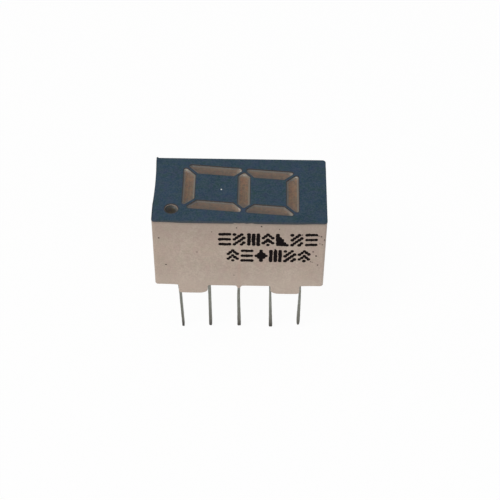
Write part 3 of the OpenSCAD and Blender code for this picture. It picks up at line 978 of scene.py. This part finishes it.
def cast_resin(letter, rule, ledge, seed, finish):
    """A well's resin: a skin by the rule, and sides that follow the well down to its mouth."""
    node = f"segment_{letter}"
    low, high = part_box(node)
    box, middle = high - low, ((low + high) / 2).xy
    outline = min(well_loops, key=lambda loop: (centre_of(loop) - middle).length)
    well = [p / MM for p in divided(anticlockwise(outline), WELL_STEP)]
    brim = shrunk(well, -ledge) if ledge else well
    skin, faces, became = flat_skin(brim, seed)
    axis = 0 if box.x > box.y else 1
    points, values = [], []
    for place in skin:
        gap, way = nearest_wall(brim, place)
        gap -= ledge
        depth, rimmed = rule(gap, way)
        ripple = RIPPLE * lumps(place.x, place.y, seed, RIPPLE_SIZE) * held(gap / RIPPLE_FROM)
        points.append(Vector((place.x, place.y, brim_z - depth + ripple)) * MM)
        # along carries painted shade and light: low at a bar's left or near end, high at its right or far
        # end.
        along = (place[axis] * MM - low[axis]) / box[axis]
        along = along if axis == 0 else LIT_FROM + (1 - LIT_FROM) * along
        # clear: how much the wall faces the light, for painted light on the rim.
        clear = max(way.dot(LIT_WALL_WAY), LIT_END_WALLS * abs(way.x))
        across = place[1 - axis] + (BAR_LEAN * place.x if axis == 0 else 0.0) + seed
        values.append((held(along), held(rimmed), held(clear), across))
    mouth = [p / MM for p in anticlockwise(rim_loops(node, low.z)[0])]
    size = MOUTH_FIT * math.sqrt(turning(mouth) / turning(brim))
    base, count = len(points), len(brim)
    inner = [centre_of(mouth) + (p - centre_of(brim)) * size for p in well]
    points += [Vector((*p, low.z / MM)) * MM for p in inner]
    faces += [(became[j], became[i], base + i, base + j) for i, j in sides(list(range(count)))]
    faces.append(tuple(base + i for i in reversed(range(count))))
    piece = creased(make_piece(f"resin_{letter}", points, faces, finish), 50)
    for name, column in zip(("along", "rim", "clear", "across"), zip(*values)):
        layer = piece.data.attributes.new(name, "FLOAT", "POINT")
        layer.data.foreach_set("value", [*column] + [0.0] * count)
    return settle(piece, "well_resin", node)


well_loops = rim_loops("reflector_case", case_high.z)[1:]
for seed, letter in enumerate("abcdefg"):
    cast_resin(letter, bar_skin, LEDGE, seed, finishes["well_resin"])
cast_resin("point", point_skin, 0.0, 7, finishes["point_resin"])

# %% [markdown]
# ## Dipped leads
#
# A stamped lead has rounded corners once it has been dipped in tin, and the tin gathers towards the
# tip, where it hangs and freezes as a soft bead. Each lead is lofted from rounded sections down its
# length. No two are alike: handling has bent each a little its own way, and the tin is thicker on
# some than on others. A table says how each one stands, and noise gives it a few lumps.

# %% Dip the leads
SECTION_SIDES, SECTION_ROUND = 20, 0.3
LEAD_LUMPS, LUMP_LENGTH, LUMPS_APART = 0.012, 0.45, 3.1
LEAD_FIT = 0.98
LEAD_RINGS = 44
TIP_ANGLES, TIP_LEAST = (15, 30, 45, 60, 75, 86), 0.2
IN_POTTING = 0.1
BEND_AT = -1.65
# For each lead: how far it stands aside at the bend and at its tip, its width at its top and at its
# tip, how much of its tip is cut off, and over what length the tip narrows
LEAD_FORMS = [
    (-0.06, 0.08, 0.22, 0.27, 0.0, 0.2),
    (0.04, -0.07, 0.2, 0.28, 0.15, 0.3),
    (0.03, 0.1, 0.23, 0.26, 0.05, 0.2),
    (-0.08, -0.02, 0.2, 0.3, 0.1, 0.25),
    (0.05, 0.12, 0.22, 0.26, 0.0, 0.2),
    (0.15, 0.29, 0.21, 0.21, 0.0, 0.2),
    (0.055, 0.09, 0.23, 0.27, 0.13, 0.28),
    (-0.055, 0.0, 0.2, 0.31, 0.18, 0.2),
    (0.075, 0.165, 0.13, 0.31, 0.08, 0.25),
    (0.015, -0.03, 0.14, 0.3, 0.3, 0.75),
]


def lead_section(half_x, half_y):
    """A rounded rectangle as a superellipse, anticlockwise."""
    angles = [2 * math.pi * (k + 0.5) / SECTION_SIDES for k in range(SECTION_SIDES)]
    return [
        tuple(half * math.copysign(abs(turn) ** SECTION_ROUND, turn)
              for half, turn in ((half_x, math.cos(angle)), (half_y, math.sin(angle))))
        for angle in angles
    ]


def stands_aside(z, top, bend, tip, foot):
    """How far a lead's middle is off its place: it bends below the potting, then runs straight."""
    if z > BEND_AT:
        return bend * step_up(z, top, BEND_AT)
    return bend + (tip - bend) * (BEND_AT - z) / (BEND_AT - foot)


def dipped_lead(number):
    bend, lean, wide_top, wide_tip, cut, tapered = LEAD_FORMS[number - 1]
    low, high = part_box(f"lead_{number}")
    middle, half_y = (low + high) / 2 / MM, (high.y - low.y) / 2 / MM
    foot, head, potted = low.z / MM + cut, high.z / MM, potting_low.z / MM
    step = (potted - foot - tapered) / LEAD_RINGS
    heights = [head, potted + IN_POTTING] + [potted - step * k for k in range(LEAD_RINGS + 1)]
    heights += [foot + tapered * (1 - math.sin(math.radians(angle))) for angle in TIP_ANGLES]
    points = []
    for z in heights:
        dipped = held((potted - z) / (potted - foot))
        lump = LEAD_LUMPS * noise.noise(Vector((number * LUMPS_APART, 0.0, z / LUMP_LENGTH)))
        half_x = (wide_top + (wide_tip - wide_top) * dipped) / 2 + lump
        below = max(0.0, (foot + tapered - z) / tapered)
        narrow = max(TIP_LEAST, math.sqrt(max(0.0, 1 - below ** 2)))
        aside = stands_aside(z, potted, bend, lean, foot)
        for x, y in lead_section(half_x, half_y * LEAD_FIT + lump):
            points.append(Vector((middle.x + x * narrow + aside, middle.y + y * narrow, z)) * MM)
    faces = [(a, d, c, b) for a, b, c, d in bands(0, SECTION_SIDES, len(heights))]
    faces.append(tuple(range(SECTION_SIDES)))
    faces.append(tuple(range(len(points) - 1, len(points) - 1 - SECTION_SIDES, -1)))
    return creased(make_piece(f"dipped_lead_{number}", points, faces, finishes["lead_tin"]), 60)


for number in range(1, len(LEAD_FORMS) + 1):
    settle(dipped_lead(number), "lead_tin", f"lead_{number}")

# %% [markdown]
# ## Potting seen from below
#
# The resin that seals the back is poured in last. It climbs the four walls and each lead, and it is
# level between them. The same kind of rule as in the wells shapes it, on a plain grid this time:
# the height depends on the distance to the nearest wall or lead.

# %% Pour the potting
POTTING_STEP = 0.16
WALL_CLIMB, WALL_CLIMB_REACH = 0.16, 0.25
LEAD_CLIMB, LEAD_CLIMB_REACH = 0.2, 0.16
POTTING_SWELL, SWELL_SIZE = 0.012, 1.6


def potting_height(x, y, half_x, half_y, posts):
    """How far the poured face stands out of level at a place, in millimetres."""
    wall = min(half_x - abs(x), half_y - abs(y))
    level = WALL_CLIMB * math.exp(-max(0.0, wall) / WALL_CLIMB_REACH)
    for middle, half in posts:
        gap = math.hypot(max(0.0, abs(x - middle.x) - half.x), max(0.0, abs(y - middle.y) - half.y))
        level = max(level, LEAD_CLIMB * math.exp(-gap / LEAD_CLIMB_REACH))
    return level + POTTING_SWELL * lumps(x, y, 5.0, SWELL_SIZE)


def poured_potting():
    """Two grids, a poured one and a flat one on the board, with walls between their borders."""
    half_x, half_y = potting_high.x / MM, potting_high.y / MM
    boxes = [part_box(f"lead_{number}") for number in range(1, len(LEAD_FORMS) + 1)]
    posts = [((low + high) / 2 / MM, (high - low) / 2 / MM) for low, high in boxes]
    columns, rows = math.ceil(2 * half_x / POTTING_STEP), math.ceil(2 * half_y / POTTING_STEP)
    places = [
        (-half_x + 2 * half_x * column / columns, -half_y + 2 * half_y * row / rows)
        for row in range(rows + 1) for column in range(columns + 1)
    ]
    poured = [potting_low.z / MM - potting_height(x, y, half_x, half_y, posts) for x, y in places]
    points = [Vector((x, y, z)) * MM for (x, y), z in zip(places, poured)]
    points += [Vector((x, y, board_low.z / MM)) * MM for x, y in places]
    width, layer = columns + 1, len(places)
    starts = [row * width + column for row in range(rows) for column in range(columns)]
    faces = [(a, a + width, a + width + 1, a + 1) for a in starts]
    border = [*range(columns)] + [columns + row * width for row in range(rows)]
    border += [rows * width + columns - column for column in range(columns)]
    border += [(rows - row) * width for row in range(rows)]
    faces += [(a, b, layer + b, layer + a) for a, b in sides(border)]
    faces.append(tuple(layer + k for k in border))
    return creased(make_piece("poured_potting", points, faces, finishes["potting_resin"]), 60)


settle(poured_potting(), "potting_resin", "back_potting")

# %% [markdown]
# ## Printed marks
#
# An ink jet has left two rows of marks on the long side, each mark a small grid of dots. Plain
# geometric shapes stand here: bars, hatching, posts, ridges, a wedge and a lozenge. What repeats is
# the dot, so the points of the grids are worked out by rule and Geometry Nodes put a droplet on
# each, with a little scatter in size and place from a fixed seed.

# %% The marks' points
MARK_COLUMNS, MARK_ROWS = 5, 7
DOT_PITCH_X, DOT_PITCH_Z = 0.185, 0.19
MARK_PITCH = 1.152
# Whether a shape has a dot in a column, counted to the right from 0, and in a row, counted down
SHAPES = {
    "bars": lambda column, row: row % 3 == 0,
    "posts": lambda column, row: column % 2 == 0,
    "hatch": lambda column, row: (column + row) % 3 == 0,
    "ridges": lambda column, row: (row - abs(column - 2)) % 3 == 0,
    "wedge": lambda column, row: column <= row * 0.67,
    "lozenge": lambda column, row: abs(column - 2) * 1.5 + abs(row - 3) <= 3,
}
# Where each line starts, how far below the face its top is, and its shapes
MARK_LINES = [
    (-1.525, 1.3, ["bars", "hatch", "posts", "ridges", "wedge", "hatch", "bars"]),
    (-0.895, 3.17, ["ridges", "bars", "lozenge", "posts", "hatch", "ridges"]),
]
wall_top = min(p.y for p in case_points if p.z > case_high.z - 0.01 * MM) / MM
wall_foot = min(p.y for p in case_points if p.z < 0.01 * MM) / MM


def on_wall(x, below):
    """A point on the near long wall, so far below the face. The wall leans in by a straight draft."""
    z = face_z - below
    return cooled(Vector((x, wall_foot + (wall_top - wall_foot) * z / brim_z, z)) * MM)


def mark_points():
    """Every dot of both lines, as points on the near wall, in metres."""
    return [
        on_wall(start + place * MARK_PITCH + column * DOT_PITCH_X, top + row * DOT_PITCH_Z)
        for start, top, shapes in MARK_LINES
        for place, shape in enumerate(shapes)
        for column in range(MARK_COLUMNS)
        for row in range(MARK_ROWS)
        if SHAPES[shape](column, row)
    ]


print("dots in the marks:", len(mark_points()))

# %% [markdown]
# The droplet tree: points come in, each gets a flattened droplet that faces out of the wall. Its
# size and its wander are random values with a fixed seed, and all its sizes are inputs with names.

# %% Build the droplet tree
BALL_SEGMENTS, BALL_RINGS = 16, 4


def droplet_tree():
    tree = bpy.data.node_groups.new("droplets_on_points", "GeometryNodeTree")
    inputs = {"Geometry": "Geometry", "Dot radius": "Float", "Dot height": "Float", "Size spread": "Float",
              "Wander": "Float", "Seed": "Int", "Ink": "Material"}
    for name, kind in inputs.items():
        tree.interface.new_socket(name, in_out="INPUT", socket_type=f"NodeSocket{kind}")
    tree.interface.new_socket("Geometry", in_out="OUTPUT", socket_type="NodeSocketGeometry")

    def add(kind, fed=None, **settings):
        return new_node(tree, kind, fed, **settings)

    given = add("NodeGroupInput").outputs
    ways = {"Min": (-1, 0, -1), "Max": (1, 0, 1), "Seed": given["Seed"]}
    wander = add("FunctionNodeRandomValue", ways, data_type="FLOAT_VECTOR")
    scaled = add("ShaderNodeVectorMath", {0: wander, "Scale": given["Wander"]}, operation="SCALE")
    moved = add("GeometryNodeSetPosition", {"Geometry": given["Geometry"], "Offset": scaled})

    ball = add("GeometryNodeMeshUVSphere",
               {"Segments": BALL_SEGMENTS, "Rings": BALL_RINGS, "Radius": given["Dot radius"]})
    flatness = sums(tree, "DIVIDE", given["Dot height"], given["Dot radius"])
    squash = add("ShaderNodeCombineXYZ", {"X": 1.0, "Y": 1.0, "Z": flatness})
    flat = add("GeometryNodeTransform", {"Geometry": ball, "Rotation": (math.pi / 2, 0, 0), "Scale": squash})

    smallest = sums(tree, "SUBTRACT", 1.0, given["Size spread"])
    largest = sums(tree, "ADD", 1.0, given["Size spread"])
    own_seed = sums(tree, "ADD", given["Seed"], 1)
    size = add("FunctionNodeRandomValue", {2: smallest, 3: largest, "Seed": own_seed}, data_type="FLOAT")
    placed = {"Points": moved, "Instance": flat, "Scale": size.outputs[1]}
    real = add("GeometryNodeRealizeInstances", {"Geometry": add("GeometryNodeInstanceOnPoints", placed)})
    paint = add("GeometryNodeSetMaterial", {"Geometry": real, "Material": given["Ink"]})
    add("NodeGroupOutput", {"Geometry": paint})
    return tree


def grow(name, points, tree, **values):
    """Runs a tree on a cloud of points and returns the result as a plain piece."""
    cloud = bpy.data.meshes.new(f"{name}_points")
    cloud.from_pydata([tuple(p) for p in points], [], [])
    carrier = linked(f"{name}_carrier", cloud)
    modifier = carrier.modifiers.new("grow", "NODES")
    modifier.node_group = tree
    sockets = {s.name: s.identifier for s in tree.interface.items_tree if s.in_out == "INPUT"}
    for key, value in values.items():
        modifier[sockets[key.replace("_", " ")]] = value
    graph = bpy.context.evaluated_depsgraph_get()
    mesh = bpy.data.meshes.new_from_object(carrier.evaluated_get(graph))
    mesh.name = name
    bpy.data.objects.remove(carrier)
    mesh.shade_smooth()
    return linked(name, mesh)


droplets = droplet_tree()
marks = grow(
    "printed_marks", mark_points(), droplets,
    Dot_radius=0.163 * MM, Dot_height=0.016 * MM, Size_spread=0.1, Wander=0.016 * MM, Seed=4,
    Ink=finishes["mark_ink"],
)
settle(marks, "face_ink")

# %% [markdown]
# ## Stray ink
#
# A printing head also spits. A few single droplets lie beside the marks and lower down the wall.
# They use the same tree, with a smaller droplet and more spread. The face's ink has left one
# round bead too, where it ran together at a far corner.

# %% Spit the stray droplets
# Each droplet's place along the wall and how far it is below the face
STRAY = [
    (6.27, 1.4), (6.38, 1.42), (6.56, 1.5), (6.82, 1.86), (6.46, 2.3), (6.67, 2.42), (6.22, 3.68),
    (6.21, 3.76), (5.8, 4.42), (5.93, 4.46), (6.37, 4.8), (5.96, 3.25), (5.03, 1.3), (3.2, 0.66),
    (1.75, 0.36), (1.79, 0.41), (2.9, 2.96), (2.94, 3.02), (-0.2, 0.56), (-0.42, 6.1), (-2.2, 1.05),
    (-3.4, 3.4), (-6.45, 1.9), (-5.95, 5.0),
]
BEAD_IN_X, BEAD_IN_Y, BEAD_DOWN = 0.12 * MM, 0.02 * MM, 0.05 * MM

strays = grow(
    "stray_droplets", [on_wall(x, below) for x, below in STRAY], droplets,
    Dot_radius=0.055 * MM, Dot_height=0.012 * MM, Size_spread=0.3, Wander=0.01 * MM, Seed=11,
    Ink=finishes["mark_ink"],
)
settle(strays, "face_ink")
corner = Vector((ink_low.x + BEAD_IN_X, ink_high.y - BEAD_IN_Y, ink_high.z - BEAD_DOWN))
bead = grow(
    "corner_bead", [corner], droplets,
    Dot_radius=0.1 * MM, Dot_height=0.1 * MM, Size_spread=0.05, Wander=0.0, Seed=2, Ink=finishes["face_ink"],
)
settle(bead, "face_ink")

# %% [markdown]
# ## Floor and light
#
# The display stands on a plain pale floor under soft light. One broad lamp from the upper left is
# the key, a weaker one opens the shadows from the right, and the world gives the rest. The floor
# and the world look white by their own colour, to the camera and in a gloss alike, so the lamps
# never have to be strong enough to bleach the object. From below the floor is clear, so that the
# leads can be looked at. The stage's own sizes are in metres.

# %% Stage the object
FLOOR_WHITE = 0.96
FLOOR_HALF = 1.5
FLOOR_GREY = (0.9, 0.9, 0.9, 1)
WORLD_GREY = (0.8, 0.8, 0.8, 1)
WORLD_LIGHT = 0.52
WHITE = (1, 1, 1, 1)


def looked_at(tree):
    """1 for the rays that show the background: to the camera, in a gloss, or through a clear thing."""
    rays = new_node(tree, "ShaderNodeLightPath").outputs
    seen = sums(tree, "MAXIMUM", rays["Is Camera Ray"], rays["Is Glossy Ray"])
    return sums(tree, "MAXIMUM", seen, rays["Is Transmission Ray"])


def pale_floor():
    """White to the eye, grey paper to the light, and clear from below."""
    material = bpy.data.materials.new("floor_paper")
    material.use_nodes = True
    tree = material.node_tree
    tree.nodes.clear()
    paper = new_node(tree, "ShaderNodeBsdfDiffuse", {"Color": FLOOR_GREY})
    white = new_node(tree, "ShaderNodeEmission", {"Color": WHITE, "Strength": 1.0})
    share = sums(tree, "MULTIPLY", looked_at(tree), FLOOR_WHITE)
    above = new_node(tree, "ShaderNodeMixShader", {0: share, 1: paper, 2: white})
    from_below = new_node(tree, "ShaderNodeNewGeometry").outputs["Backfacing"]
    clear = new_node(tree, "ShaderNodeBsdfTransparent")
    both = new_node(tree, "ShaderNodeMixShader", {0: from_below, 1: above, 2: clear})
    new_node(tree, "ShaderNodeOutputMaterial", {"Surface": both})
    return material


def add_floor():
    corners = [(x * FLOOR_HALF, y * FLOOR_HALF, floor_z) for x, y in ((-1, -1), (1, -1), (1, 1), (-1, 1))]
    floor = make_piece("floor", corners, [(0, 1, 2, 3)], pale_floor(), smooth=False)


def add_lamp(name, place, size, power, colour):
    """A square lamp that faces the object."""
    data = bpy.data.lights.new(name, "AREA")
    data.shape = "SQUARE"
    data.size = size
    data.energy = power
    data.color = colour
    lamp = linked(name, data)
    lamp.location = place
    lamp.rotation_mode = "QUATERNION"
    lamp.rotation_quaternion = (-Vector(place)).to_track_quat("-Z", "Y")


def add_world():
    """A grey sky for the light and a white one for the eye."""
    world = bpy.data.worlds.new("world")
    bpy.context.scene.world = world
    world.use_nodes = True
    tree = world.node_tree
    tree.nodes.clear()
    soft = new_node(tree, "ShaderNodeBackground", {"Color": WORLD_GREY, "Strength": WORLD_LIGHT})
    white = new_node(tree, "ShaderNodeBackground", {"Color": WHITE, "Strength": 1.0})
    mixed = new_node(tree, "ShaderNodeMixShader", {0: looked_at(tree), 1: soft, 2: white})
    new_node(tree, "ShaderNodeOutputWorld", {"Surface": mixed})


add_floor()
add_lamp("key", place=(-0.16, -0.14, 0.3), size=0.16, power=0.62, colour=(1.0, 0.985, 0.96))
add_lamp("fill", place=(0.25, -0.22, 0.16), size=0.2, power=0.16, colour=(0.96, 0.98, 1.0))
add_world()
bpy.context.scene.view_settings.view_transform = "Standard"

# %% [markdown] ## End
